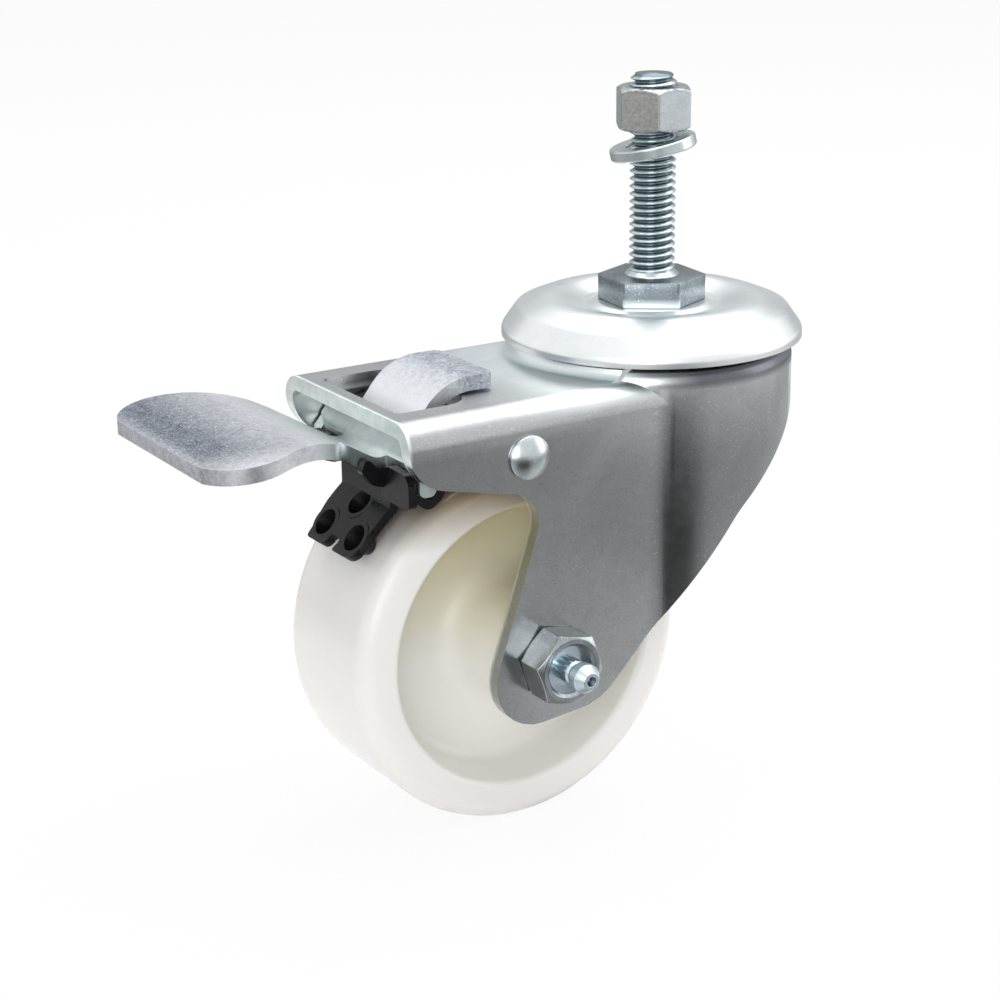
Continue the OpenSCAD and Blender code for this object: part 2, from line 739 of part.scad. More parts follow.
// Side wing of the leaf on side s: an ear beside the neck and a front tab, which on the near side
// reaches down into a loop inside the cheek
module clip_wing(s) {
    ear_in = neck_w / 2 + 0.5;
    low = leaf_top_z - leaf_t;
    foot = s < 0 ? -33.4 : low;
    mirror([0, s < 0 ? 1 : 0, 0]) {
        translate([0, 0, low]) linear_extrude(leaf_t) polygon([
            [tab_front, ear_in], [tab_front, ear_out], [leaf_front + leaf_t, ear_out],
            [leaf_front + leaf_t, ear_in]
        ]);
        translate([0, ear_in + leaf_t / 2, 0]) across(leaf_t) polygon(outline([
            [tab_front, low, 0], [-73.4, -30.4, 1.5], [clip_front, -27.4, 1], [-74.7, -24.6, 0.8],
            [-72.9, -26.5, 1.5], [tab_front + leaf_t, -28.9, 1], [tab_front + leaf_t, low, 0]
        ]));
        translate([tab_front, 0, 0]) rotate([90, 0, 90]) linear_extrude(leaf_t) polygon(outline([
            [ear_in + leaf_t / 2, foot, 0.5], [ear_in + leaf_t / 2, -27.4, 0.8], [13, -26.4, 2],
            [tab_out, -26.6, 2.6], [tab_out, foot, 1.2]
        ]));
        if (s < 0) {
            translate([tab_front, 0, 0]) rotate([90, 0, 90]) linear_extrude(4.2) polygon([
                [ear_out - leaf_t, -33.2], [ear_out - leaf_t, -30], [ear_out, -30], [ear_out, -33.2]
            ]);
            translate([0, (ear_in + ear_out) / 2 + 0.7, 0]) across(ear_out - ear_in - 1.4)
                polygon(sheet(run([
                    [-68.3, low + 0.4], [-68, -33.2, 2.4], [-65.4, -35.2, 2.2], [-62.6, -33.2, 2.2],
                    [-60.6, -29.8]
                ]), -leaf_t));
        }
    }
}

// Rivet through both legs, which the lever pivots on
module lever_rivet() {
    head_r = rivet_head_d / 2;
    collar = 0.6;
    dome_r = (head_r ^ 2 + (rivet_head_h - collar) ^ 2) / (2 * (rivet_head_h - collar));
    color("lightsteelblue") about_axle(pivot_x, pivot_z) union() {
        cylinder(h = fork_w, d = rivet_d, center = true);
        for (s = [0, 1]) mirror([0, 0, s]) translate([0, 0, leg_out]) {
            cylinder(h = collar, r = head_r);
            translate([0, 0, collar]) intersection() {
                translate([0, 0, rivet_head_h - collar - dome_r]) sphere(r = dome_r);
                cylinder(h = rivet_head_h, r = head_r);
            }
        }
    }
}

// Split lock washer that hangs loose and tilted under the nut
module lock_washer() {
    soft = 0.3;
    hole = washer_hole_d / 2;
    out = washer_d / 2;
    half = washer_t / 2;
    color("lightsteelblue") translate([0, 0, washer_z]) rotate([0, 0, -33])
        rotate([0, -washer_tilt, 0]) rotate([0, 0, 60])
        rotate_extrude(angle = 360 - split_angle) polygon([
            [hole, -half + soft], [hole + soft, -half], [out - soft, -half], [out, -half + soft],
            [out, half - soft], [out - soft, half], [hole + soft, half], [hole, half - soft]
        ]);
}

// Stem nut, bevelled and countersunk at both faces
module stem_nut() {
    r = thread_d / 2 + nut_fit;
    sink = 0.6;
    color("lightgray") difference() {
        hexagon(nut_af, nut_z, nut_z + nut_h, nut_turn);
        translate([0, 0, nut_z - cut]) cylinder(h = nut_h + 2 * cut, r = r);
        translate([0, 0, nut_z + nut_h - sink]) cylinder(h = sink, r1 = r, r2 = r + sink);
        translate([0, 0, nut_z]) cylinder(h = sink, r1 = r + sink, r2 = r);
    }
}

stem();
top_race();
upper_balls();
fork();
lower_balls();
lower_race();
lock_ring();
wheel();
spanner_bush();
axle_bolt();
axle_nut();
grease_fitting();
fitting_ball();
brake_lever();
brake_leaf();
lever_rivet();
lock_washer();
stem_nut();
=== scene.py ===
# %% [markdown]
# # A threaded stem castor
# This lesson dresses a packed castor: a hard white wheel in a bright zinc fork, a foot lever with
# a black brake leaf, and a threaded stem with its nut and lock washer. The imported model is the
# frame: every piece made here sits where that model puts it, in metres, with the origin on the
# swivel axis at the top of the hexagon.

# %% Load the frame
from math import atan2, cos, hypot, pi, radians, sin, tan

import bmesh
import bpy
from mathutils import Matrix, Vector


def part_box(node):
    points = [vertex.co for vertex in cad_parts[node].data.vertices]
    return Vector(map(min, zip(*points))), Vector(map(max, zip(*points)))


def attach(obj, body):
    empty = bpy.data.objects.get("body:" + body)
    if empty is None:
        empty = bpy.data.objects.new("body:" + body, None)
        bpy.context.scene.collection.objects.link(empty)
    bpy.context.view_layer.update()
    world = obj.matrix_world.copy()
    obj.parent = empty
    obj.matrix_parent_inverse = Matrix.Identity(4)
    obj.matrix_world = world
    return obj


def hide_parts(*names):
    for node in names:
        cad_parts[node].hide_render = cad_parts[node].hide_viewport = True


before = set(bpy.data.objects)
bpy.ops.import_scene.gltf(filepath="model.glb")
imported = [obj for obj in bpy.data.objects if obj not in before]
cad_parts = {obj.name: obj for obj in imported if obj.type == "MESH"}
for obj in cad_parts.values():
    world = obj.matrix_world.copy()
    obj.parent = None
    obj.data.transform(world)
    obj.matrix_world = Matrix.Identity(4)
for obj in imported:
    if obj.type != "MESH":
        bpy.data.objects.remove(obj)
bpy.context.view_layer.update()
print("solids in the frame:", ", ".join(sorted(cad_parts)))

# %% [markdown]
# ## Sizes
# Drawings of small hardware are in millimetres, and Blender's unit here is the metre, so each size
# is written in millimetres and multiplied by one constant. The heights are those of the packed
# model, counted from the seat of the hexagon.

# %% Sizes shared by several pieces
MM = 0.001
AXLE = Vector((-41.9, 0.0, -68.7)) * MM
PIVOT = Vector((-47.0, 0.0, -25.6)) * MM
THREAD_R = 4.7625 * MM
PITCH = 1.5875 * MM
print("axle", tuple(round(v, 4) for v in AXLE), "pivot", tuple(round(v, 4) for v in PIVOT))

# %% [markdown]
# ## Camera
# The camera stands where the photographer stood: to the left of the castor, a little above it and
# about half a metre away, with a short telephoto lens. Its three axes are worked out from an
# azimuth, an elevation and a small roll. The shift only moves the frame, because the photograph
# was cropped a little off the centre of the lens.

# %% Camera
def studio_camera(place, azimuth, elevation, roll, lens, shift):
    a, e, r = radians(azimuth), radians(elevation), radians(roll)
    back = Vector((sin(a) * cos(e), -cos(a) * cos(e), sin(e)))
    right = Vector((cos(a), sin(a), 0.0))
    up = back.cross(right)
    rolled = (right * cos(r) + up * sin(r), up * cos(r) - right * sin(r), back)
    data = bpy.data.cameras.new("camera")
    data.lens = lens
    data.sensor_width = 36.0
    data.shift_x, data.shift_y = shift
    data.clip_start = 0.01
    camera = bpy.data.objects.new("camera", data)
    camera.matrix_world = Matrix.Translation(place) @ Matrix(rolled).transposed().to_4x4()
    bpy.context.scene.collection.objects.link(camera)
    bpy.context.scene.camera = camera
    return camera


camera = studio_camera(Vector((-271.64, -372.384, 103.107)) * MM, azimuth=-32.98,
                       elevation=17.868, roll=-0.375, lens=81.03, shift=(-0.03246, -0.01982))
print("camera at", tuple(round(v, 3) for v in camera.matrix_world.translation))

# %% [markdown]
# ## Shader maths as plain expressions
# A procedural material is a small calculation. Wiring each sum by hand is slow to read, so one
# class wraps a socket and gives it the usual operators: writing `1 - mask * 0.5` then adds the
# Math nodes by itself. Every other node comes from the single method `node`.

# %% A socket that can be calculated with
class Value:
    def __init__(self, paint, socket):
        self.paint, self.socket = paint, socket

    def math(self, operation, *others, clamp=False):
        return self.paint.node("Math", {"operation": operation, "use_clamp": clamp}, self, *others)

    def __add__(self, other):
        return self.math("ADD", other)

    def __radd__(self, other):
        return self.math("ADD", other)

    def __sub__(self, other):
        return self.math("SUBTRACT", other)

    def __rsub__(self, other):
        return self.paint.node("Math", {"operation": "SUBTRACT"}, other, self)

    def __mul__(self, other):
        return self.math("MULTIPLY", other)

    def __rmul__(self, other):
        return self.math("MULTIPLY", other)

    def __truediv__(self, other):
        return self.math("DIVIDE", other)

    def __pow__(self, other):
        return self.math("POWER", other)

    def above(self, edge, width):
        """Nothing below the edge, one above it, and a ramp of this width between the two."""
        return ((self - (edge - width / 2)) / width).math("ADD", 0.0, clamp=True)


class Paint:
    """One material: its node tree, its main shader and the patterns it is made of."""

    def __init__(self, name, tree=None):
        self.material = None if tree else bpy.data.materials.new(name)
        if tree is None:
            self.material.use_nodes = True
            tree = self.material.node_tree
        self.tree = tree
        self.shader = tree.nodes.get("Principled BSDF")

    def node(self, kind, settings=None, *values, out=0, **named):
        made = self.tree.nodes.new("ShaderNode" + kind)
        for key, value in (settings or {}).items():
            if key == "stops":
                ramp = made.color_ramp
                while len(ramp.elements) < len(value):
                    ramp.elements.new(0.5)
                for element, (place, colour) in zip(ramp.elements, value):
                    element.position = place
                    element.color = (*colour, 1.0)
            else:
                setattr(made, key, value)
        for key, value in list(enumerate(values)) + list(named.items()):
            socket = made.inputs[key.replace("_", " ") if isinstance(key, str) else key]
            self.feed(socket, value)
        return Value(self, made.outputs[out])

    def feed(self, socket, value):
        if isinstance(value, Value):
            self.tree.links.new(value.socket, socket)
        elif isinstance(value, tuple) and len(value) == 3 and socket.type == "RGBA":
            socket.default_value = (*value, 1.0)
        else:
            socket.default_value = value

    def set(self, **inputs):
        for key, value in inputs.items():
            self.feed(self.shader.inputs[key.replace("_", " ")], value)
        return self

    def place(self):
        return self.node("TexCoord", out="Object")

    def axes(self):
        at = self.place()
        return [self.node("SeparateXYZ", None, at, out=axis) for axis in "XYZ"]

    def noise(self, at, scale, detail, roughness, distortion=0.0):
        return self.node("TexNoise", None, Vector=at, Scale=scale, Detail=detail,
                         Roughness=roughness, Distortion=distortion)

    def mix(self, factor, a, b):
        made = self.tree.nodes.new("ShaderNodeMix")
        made.data_type = "RGBA"
        for socket, value in ((made.inputs[0], factor), (made.inputs[6], a), (made.inputs[7], b)):
            self.feed(socket, value)
        return Value(self, made.outputs[2])

    def bump(self, height, strength, distance):
        return self.node("Bump", None, Height=height, Strength=strength, Distance=distance)


print("shader helpers ready")

# %% [markdown]
# ## Floor, backdrop and light
# A product photograph is taken in a white tent. Here the world is that tent: it is white where the
# camera, a reflection or a refraction looks at it, and it lights the object evenly. The floor is a
# wide white sheet that takes a soft shadow. A softbox overhead and two weaker lamps give the long
# highlights. Bright metal shows what stands round it, so one grey card lies on the floor and one
# stands behind, and only reflections see them. The tone of the floor card changes with direction
# and distance, so each upright face shows a grey of its own.

# %% World
def seen_rays(paint):
    """One for a ray of the camera, a reflection or a refraction, and nothing for any other."""
    direct, glossy, through = [
        paint.node("LightPath", out=ray)
        for ray in ("Is Camera Ray", "Is Glossy Ray", "Is Transmission Ray")]
    return (direct + glossy + through).math("MINIMUM", 1.0)


def white_world(light, seen):
    world = bpy.data.worlds.new("tent")
    bpy.context.scene.world = world
    world.use_nodes = True
    paint = Paint("tent", world.node_tree)
    background = world.node_tree.nodes["Background"]
    paint.feed(background.inputs["Color"], (1.0, 1.0, 1.0))
    paint.feed(background.inputs["Strength"], seen_rays(paint) * (seen - light) + light)


white_world(light=0.45, seen=1.0)
print("world is white to the camera")


# %% Floor
FLOOR_GLOW = 0.9


def link(obj):
    bpy.context.scene.collection.objects.link(obj)
    return obj


def sheet(name, centre, size, facing, paint):
    data = bpy.data.meshes.new(name)
    bm = bmesh.new()
    bmesh.ops.create_grid(bm, x_segments=1, y_segments=1, size=0.5)
    bmesh.ops.scale(bm, vec=(size[0], size[1], 1.0), verts=bm.verts)
    turn = Vector(facing).to_track_quat("Z", "Y").to_matrix().to_4x4()
    bm.transform(Matrix.Translation(centre) @ turn)
    bm.to_mesh(data)
    bm.free()
    data.materials.append(paint.material)
    obj = link(bpy.data.objects.new(name, data))
    return obj


def floor_paint():
    paint = Paint("floor_white")
    paint.set(Base_Color=(0.97, 0.97, 0.97), Roughness=0.9)
    out = paint.tree.nodes["Material Output"]
    glow = paint.node("Emission", None, Color=(1.0, 1.0, 1.0), Strength=1.0)
    seen = seen_rays(paint) * FLOOR_GLOW
    both = paint.node("MixShader", None, seen, Value(paint, paint.shader.outputs[0]), glow)
    paint.tree.links.new(both.socket, out.inputs["Surface"])
    return paint


floor_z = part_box("wheel")[0][2]
sheet("floor", centre=(0.0, 0.0, floor_z - 0.1 * MM), size=(6.0, 6.0), facing=(0, 0, 1),
      paint=floor_paint())
print("floor at", round(floor_z, 4))


# %% Lamps and the grey cards
MIDDLE = (-0.03, 0.0, -0.04)
UNDER_RADIUS = 0.10
SHADED_RADIUS = 0.225
FAR_RADIUS = 0.37
NEAR_TONES = [(-180, 0.60), (-132, 0.45), (-120, 0.02), (-88, 0.02), (-74, 0.32), (-57, 0.40),
              (-37, 0.46), (5, 0.90), (57, 0.75), (120, 0.95), (180, 0.60)]
FAR_TONES = [(-180, 0.36), (-140, 0.30), (-105, 0.20), (-75, 0.62), (-40, 0.66), (0, 0.43),
             (57, 0.25), (120, 0.25), (180, 0.36)]


def lamp(name, place, target, size, power):
    data = bpy.data.lights.new(name, "AREA")
    data.shape = "RECTANGLE"
    data.size, data.size_y = size
    data.energy = power
    obj = link(bpy.data.objects.new(name, data))
    aim = (Vector(target) - Vector(place)).to_track_quat("-Z", "Y").to_matrix().to_4x4()
    obj.matrix_world = Matrix.Translation(place) @ aim
    return obj


def hide_but_from_reflections(obj):
    for ray in ("visible_camera", "visible_diffuse", "visible_shadow", "visible_transmission"):
        setattr(obj, ray, False)


def glowing(paint, colour, strength=1.0):
    return paint.set(Base_Color=(0.0, 0.0, 0.0), Roughness=1.0, Specular_IOR_Level=0.0,
                     Emission_Color=colour, Emission_Strength=strength)


def card_paint():
    """Each tone is a direction round the castor in degrees and a grey."""
    paint = Paint("grey_card")
    x, y, _ = paint.axes()
    x = x - MIDDLE[0]
    turn = y.math("ARCTAN2", x) / (2 * pi) + 0.5
    rings = []
    for tones in (NEAR_TONES, FAR_TONES):
        stops = [((direction + 180) / 360, (grey, grey, grey)) for direction, grey in tones]
        rings.append(paint.node("ValToRGB", {"stops": stops}, turn))
    near, far = rings
    distance = (x * x + y * y) ** 0.5
    near = paint.mix(distance.above(SHADED_RADIUS, 0.11) * 0.52, near, (0.0, 0.0, 0.0))
    under = 1 - distance.above(UNDER_RADIUS, 0.06)
    near = paint.mix(under * 0.3, near, (0.9, 0.9, 0.9))
    return glowing(paint, paint.mix(distance.above(FAR_RADIUS, 0.10), near, far), 1.4)


lamp("overhead", place=(0.25, 0.10, 1.10), target=MIDDLE, size=(1.6, 1.6), power=13.0)
lamp("front_left", place=(-0.90, -0.90, 0.30), target=MIDDLE, size=(0.8, 0.8), power=5.0)
lamp("right", place=(0.90, -0.40, 0.20), target=MIDDLE, size=(0.5, 0.8), power=2.0)
hide_but_from_reflections(sheet(
    "floor_card", centre=(0.0, 0.0, floor_z + 0.2 * MM), size=(3.0, 3.0), facing=(0, 0, 1),
    paint=card_paint()))
hide_but_from_reflections(sheet(
    "back_card", centre=(0.46, 0.75, 0.20), size=(1.7, 0.56), facing=(-0.46, -0.75, -0.10),
    paint=glowing(Paint("back_grey"), (0.50, 0.52, 0.54))))
print("lamps and cards set")

# %% [markdown]
# ## Finishes
# Bright zinc plate is a thin, slightly blue metal layer over pressed steel. It is never one grey:
# it has soft clouds from the bath, fine rolled grain, tiny bright specks and dark pits. All of that
# is noise at several scales, read from object coordinates in metres, so a scale of 900 is about
# one millimetre a feature.

# %% Zinc plate
BRIGHT_SPECK = (0.93, 0.95, 0.96)
PLATE_RELIEF = 0.04 * MM


def zinc(name, dark, light, rough, speck, grain, accent=None):
    paint = Paint(name)
    at = paint.place()
    clouds = paint.noise(at, scale=38.0, detail=3.0, roughness=0.55, distortion=0.6).above(0.5, 0.55)
    mottle = paint.noise(at, scale=330.0, detail=3.0, roughness=0.6).above(0.5, 0.5)
    specks = paint.noise(at, scale=2600.0, detail=2.0, roughness=0.7).above(0.67, 0.10)
    pits = paint.noise(at, scale=1700.0, detail=1.0, roughness=0.5).above(0.33, 0.14)
    body = paint.mix(clouds * 0.65 + mottle * 0.35, dark, light)
    pit_colour = tuple(v * 0.62 for v in dark)
    pitted = paint.mix((1 - pits) * 0.35 * speck, body, pit_colour)
    colour = paint.mix(specks * speck, pitted, BRIGHT_SPECK)
    rough_at = rough + clouds * 0.05 + (1 - mottle) * 0.05 - specks * 0.06 * speck
    if accent:
        colour, rough_at = accent(paint, colour, rough_at, mottle, specks)
    relief = paint.noise(at, scale=900.0, detail=3.0, roughness=0.6) * 0.7 + mottle * 0.3
    paint.set(Base_Color=colour, Metallic=1.0, IOR=2.4, Roughness=rough_at,
              Normal=paint.bump(relief, grain, PLATE_RELIEF))
    return paint


# %% [markdown]
# Some pieces have places with a look of their own. An accent is a small function that is handed the
# colour and the roughness of the plain plate and gives them back changed: a frosted pedal with
# painted light and shade, a frosted tab with painted shade, the pale cut edge of the fork, painted
# shade in the grooves of a thread, and painted highlights, reflections and shadows on the fork, the
# hexagon and the nut. The places where the look changes are named first, in the imported model's own
# frame.

# %% Places on the lever
PEDAL_X = -86.0 * MM
# Where the pedal's painted light begins: towards the web and on the near side.
PEDAL_PAINTED_LIGHT_X = -97.0 * MM
PEDAL_PAINTED_LIGHT_Y = -20.0 * MM
PEDAL_END_X = -111.5 * MM
WEB_END_X = -66.0 * MM
TAB_X = -63.5 * MM
TAB_Z = -19.5 * MM
TAB_END_X = -57.5 * MM
print("the pedal starts at x", round(PEDAL_X, 4), "and the tab at x", round(TAB_X, 4))


# %% Accent of the lever
def lever_accent(paint, colour, rough, mottle, specks):
    at = paint.place()
    x, y, z = paint.axes()
    veins = paint.noise(at, scale=620.0, detail=4.0, roughness=0.65, distortion=1.2).above(0.5, 0.30)
    sparkle = paint.noise(at, scale=2700.0, detail=2.0, roughness=0.7).above(0.60, 0.08)
    # The pedal is frost with painted light and shade: painted lit towards the web, on the near side
    # and half lit at its front end, and painted shade elsewhere.
    pedal = 1 - x.above(PEDAL_X, 10 * MM)
    painted_lit = x.above(PEDAL_PAINTED_LIGHT_X, 18 * MM).math("MAXIMUM", 1 - y.above(PEDAL_PAINTED_LIGHT_Y, 14 * MM))
    painted_lit = painted_lit.math("MAXIMUM", (1 - x.above(PEDAL_END_X, 3 * MM)) * 0.5)
    shade = paint.mix(veins, (0.10, 0.12, 0.16), (0.30, 0.33, 0.39))
    painted_shine = paint.mix(veins, (0.76, 0.78, 0.82), (0.96, 0.97, 1.0))
    frost_and_painted_light = paint.mix(sparkle * 0.6, paint.mix(painted_lit, shade, painted_shine), (0.97, 0.98, 1.0))
    web = x.above(PEDAL_X, 10 * MM) * (1 - x.above(WEB_END_X, 4 * MM))
    greenish = paint.mix(mottle, (0.52, 0.60, 0.60), (0.78, 0.84, 0.83))
    # The tab is frost that is painted darker towards its far end: painted shade.
    tab = x.above(TAB_X, 4 * MM) * z.above(TAB_Z, 4 * MM)
    shaded_far_end = x.above(TAB_END_X, 11 * MM)
    frost = paint.mix(mottle * 0.5 + specks * 0.5, (0.84, 0.87, 0.90), (0.97, 0.98, 1.00))
    hump_painted_shade = paint.mix(veins * 0.6 + sparkle * 0.4, (0.24, 0.26, 0.31), (0.74, 0.76, 0.80))
    colour = paint.mix(web * 0.8, paint.mix(pedal, colour, frost_and_painted_light), greenish)
    return paint.mix(tab, colour, paint.mix(shaded_far_end, frost, hump_painted_shade)), rough + tab * 0.12


# %% Places on the fork
FORK_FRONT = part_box("fork")[0][0]
FORK_TOP_Z = -18.2 * MM
HEAD_X = -14.0 * MM
RIM_LIGHT_R = 48.0 * MM
LIP_Z = -16.8 * MM
LEG_INSIDE_Y = 22.6 * MM
UNDER_TOP_Z = -17.6 * MM
BEND_Z = -20.7 * MM
print("the fork's cut front edge is at x", round(FORK_FRONT, 4))


# %% Accent of the fork
def fork_accent(paint, colour, rough, mottle, specks):
    x, y, z = paint.axes()
    from_stem = (x * x + y * y) ** 0.5
    top = z.above(FORK_TOP_Z, 2 * MM)
    behind = 1 - x.above(HEAD_X, 12 * MM)
    # The top plate round the head, under the race's rim, is painted pale teal: painted light.
    painted_light_under_rim = (1 - from_stem.above(RIM_LIGHT_R, 16 * MM)) * top * behind
    colour = paint.mix(painted_light_under_rim * 0.75, colour, (0.84, 0.90, 0.91))
    # The cup's top edge in front of the stem is painted dark: the race rim's painted shadow.
    painted_lip_shadow = z.above(LIP_Z, 1.6 * MM) * (1 - behind)
    colour = paint.mix(painted_lip_shadow * 0.85, colour, (0.09, 0.10, 0.12))
    # The inner faces between the legs are painted pale as painted light; the cut front edge is pale
    # bare steel.
    between_legs = 1 - y.math("ABSOLUTE").above(LEG_INSIDE_Y, 0.6 * MM)
    inside = between_legs * (1 - z.above(UNDER_TOP_Z, 0.8 * MM))
    cut_front = 1 - x.above(FORK_FRONT + 0.6 * MM, 0.6 * MM)
    pale_edge_and_painted_light = paint.mix(mottle, (0.62, 0.70, 0.68), (0.84, 0.89, 0.87))
    colour = paint.mix(inside.math("MAXIMUM", cut_front) * 0.9, colour, pale_edge_and_painted_light)
    bend = z.above(BEND_Z, 5 * MM)
    return colour, rough + inside * 0.14 + cut_front * 0.20 + bend * 0.13


# %% Places on the stem, its hexagon and its nut
HEXAGON_FRONT = (-0.588, -0.809)
HEXAGON_FACE = 9.4 * MM
HEXAGON_FOOT_Z = -4.0 * MM
NUT_LEFT = (-0.848, -0.530)
NUT_FACE = 6.8 * MM
NUT_UPPER_Z = 38.4 * MM
NUT_LOWER_Z = 30.8 * MM
GROOVE_R = 4.3 * MM
print("faces picked by their outward direction:", HEXAGON_FRONT, NUT_LEFT)


# %% Accents of the turned pieces
def along(x, y, direction):
    return x * direction[0] + y * direction[1]


def hexagon_accent(paint, colour, rough, mottle, specks):
    x, y, z = paint.axes()
    # The foot of the hexagon's front face is painted bright: a painted highlight.
    front = along(x, y, HEXAGON_FRONT).above(HEXAGON_FACE, 0.4 * MM)
    painted_foot_highlight = (1 - z.above(HEXAGON_FOOT_Z, 1.4 * MM)) * front
    return paint.mix(painted_foot_highlight, colour, (0.80, 0.85, 0.87)), rough


def nut_accent(paint, colour, rough, mottle, specks):
    x, y, z = paint.axes()
    ends = z.above(NUT_UPPER_Z, 0.6 * MM) + (1 - z.above(NUT_LOWER_Z, 0.6 * MM))
    # The face that looks to the front left is painted warm grey: a painted reflection.
    painted_warm_face = along(x, y, NUT_LEFT).above(NUT_FACE, 0.4 * MM)
    patches = paint.noise(paint.place(), scale=1500.0, detail=3.0, roughness=0.6).above(0.5, 0.30)
    painted_warm_reflection = paint.mix(patches, (0.28, 0.26, 0.23), (0.50, 0.48, 0.44))
    cold_grey = paint.mix(patches, (0.10, 0.12, 0.13), (0.50, 0.53, 0.55))
    faces = paint.mix(painted_warm_face * 0.6, colour, painted_warm_reflection)
    return paint.mix(ends * 0.55, faces, cold_grey), rough


def thread_accent(paint, colour, rough, mottle, specks):
    x, y, _ = paint.axes()
    # The roots of the thread are painted dark: painted shade in the grooves.
    painted_groove_shade = 1 - ((x * x + y * y) ** 0.5).above(GROOVE_R, 0.5 * MM)
    return paint.mix(painted_groove_shade * 0.85, colour, (0.09, 0.14, 0.16)), rough


# %% [markdown]
# The same recipe then serves every plated piece: a dark and a light tone, how rough the plate is,
# how many specks it has and how strong its grain is. The fork is the smoothest, the lever is the
# roughest, and the hexagon and the axle nut have the darkest tones.

# %% Finishes in zinc
zinc_fork = zinc("zinc_fork", (0.375, 0.39, 0.395), (0.53, 0.545, 0.55), 0.16, speck=0.7,
                 grain=0.22, accent=fork_accent)
zinc_sheet = zinc("zinc_sheet", (0.36, 0.39, 0.41), (0.52, 0.55, 0.57), 0.22, speck=0.16, grain=0.16)
zinc_lever = zinc("zinc_lever", (0.42, 0.45, 0.49), (0.62, 0.65, 0.69), 0.30, speck=0.8,
                  grain=0.5, accent=lever_accent)
zinc_race = zinc("zinc_race", (0.74, 0.78, 0.79), (0.90, 0.93, 0.93), 0.25, speck=0.2, grain=0.12)
zinc_turned = zinc("zinc_turned", (0.42, 0.47, 0.49), (0.68, 0.74, 0.75), 0.22, speck=0.35, grain=0.2)
zinc_nut = zinc("zinc_nut", (0.42, 0.46, 0.49), (0.72, 0.76, 0.78), 0.22, speck=0.5, grain=0.25,
                accent=nut_accent)
zinc_dull = zinc("zinc_dull", (0.15, 0.17, 0.18), (0.62, 0.66, 0.68), 0.24, speck=0.6, grain=0.4)
zinc_forged = zinc("zinc_forged", (0.06, 0.08, 0.10), (0.32, 0.37, 0.39), 0.26, speck=0.7,
                   grain=0.5, accent=hexagon_accent)
zinc_pale = zinc("zinc_pale", (0.50, 0.61, 0.68), (0.76, 0.86, 0.92), 0.24, speck=0.2, grain=0.2)
zinc_thread = zinc("zinc_thread", (0.50, 0.58, 0.61), (0.70, 0.78, 0.80), 0.20, speck=0.2,
                   grain=0.15, accent=thread_accent)
print("zinc finishes:", zinc_fork.material.name, zinc_lever.material.name)


# %% [markdown]
# Moulded nylon is milky: light enters it a little way, so its shadows are warm and soft. The
# recess, which is less polished, is painted more ivory towards its top: painted warm light. The top
# of the tread, which stands in the fork's shade at rest, is painted a dark warm brown: painted
# shade. Both are painted into the wheel's own material, so they turn with it.

# %% Nylon and black coat
RECESS_R = 30.0 * MM
TREAD_TOP_Z = -39.5 * MM
WARM_LIGHT_Z = -56.0 * MM
SHOE_Z = -46.5 * MM


def nylon():
    paint = Paint("white_nylon")
    at = paint.place()
    x, _, z = paint.axes()
    dx = x - AXLE.x
    dz = z - AXLE.z
    radius = (dx * dx + dz * dz) ** 0.5
    recess = 1 - radius.above(RECESS_R, 1.6 * MM)
    clouds = paint.noise(at, scale=40.0, detail=0.0, roughness=0.5).above(0.5, 1.0)
    tread = paint.mix(clouds, (0.84, 0.83, 0.80), (0.88, 0.87, 0.85))
    # The top of the tread is painted dark brown: the fork's painted shade.
    tread = paint.mix(z.above(TREAD_TOP_Z, 10 * MM) * 0.95, tread, (0.27, 0.19, 0.09))
    milky = paint.mix(clouds, (0.82, 0.81, 0.76), (0.87, 0.86, 0.82))
    # The recess turns ivory towards its top: painted warm light over the milky base.
    ivory_with_painted_light = paint.mix(z.above(WARM_LIGHT_Z, 32 * MM), milky, (0.70, 0.63, 0.38))
    relief = paint.noise(at, scale=260.0, detail=2.0, roughness=0.5)
    paint.set(Base_Color=paint.mix(recess, tread, ivory_with_painted_light), IOR=1.53,
              Roughness=recess * 0.08 + 0.27,
              Subsurface_Weight=0.15, Subsurface_Radius=(0.004, 0.003, 0.0018),
              Subsurface_Scale=1.0, Normal=paint.bump(relief, 0.03, 0.03 * MM))
    return paint


def black_coat():
    paint = Paint("black_coat")
    at = paint.place()
    mottle = paint.noise(at, scale=420.0, detail=3.0, roughness=0.6).above(0.5, 0.5)
    dust = paint.noise(at, scale=1800.0, detail=2.0, roughness=0.7).above(0.70, 0.10)
    grain = paint.noise(at, scale=1300.0, detail=2.0, roughness=0.5)
    z = paint.axes()[2]
    # The shoe is painted a lighter black than the clip: a painted sheen.
    shoe_painted_sheen = 1 - z.above(SHOE_Z, 4 * MM)
    colour = paint.mix(mottle, (0.004, 0.004, 0.005), (0.010, 0.010, 0.011))
    colour = paint.mix(shoe_painted_sheen, colour, (0.030, 0.030, 0.032))
    paint.set(Base_Color=paint.mix(dust * 0.2, colour, (0.16, 0.16, 0.16)), IOR=1.5,
              Specular_IOR_Level=0.20, Roughness=0.24 + mottle * 0.10 + dust * 0.2,
              Normal=paint.bump(grain, 0.18, PLATE_RELIEF))
    return paint


def plain_steel(name, colour, rough):
    paint = Paint(name)
    at = paint.place()
    mottle = paint.noise(at, scale=1200.0, detail=2.0, roughness=0.6).above(0.5, 0.6)
    darker = tuple(v * 0.85 for v in colour)
    paint.set(Base_Color=paint.mix(mottle, darker, colour), Metallic=1.0,
              Roughness=rough + mottle * 0.08)
    return paint


white_nylon = nylon()
black = black_coat()
ball_steel = plain_steel("ball_steel", (0.72, 0.72, 0.73), 0.08)
bush_steel = plain_steel("bush_steel", (0.50, 0.50, 0.50), 0.28)
print("other finishes:", white_nylon.material.name, black.material.name)

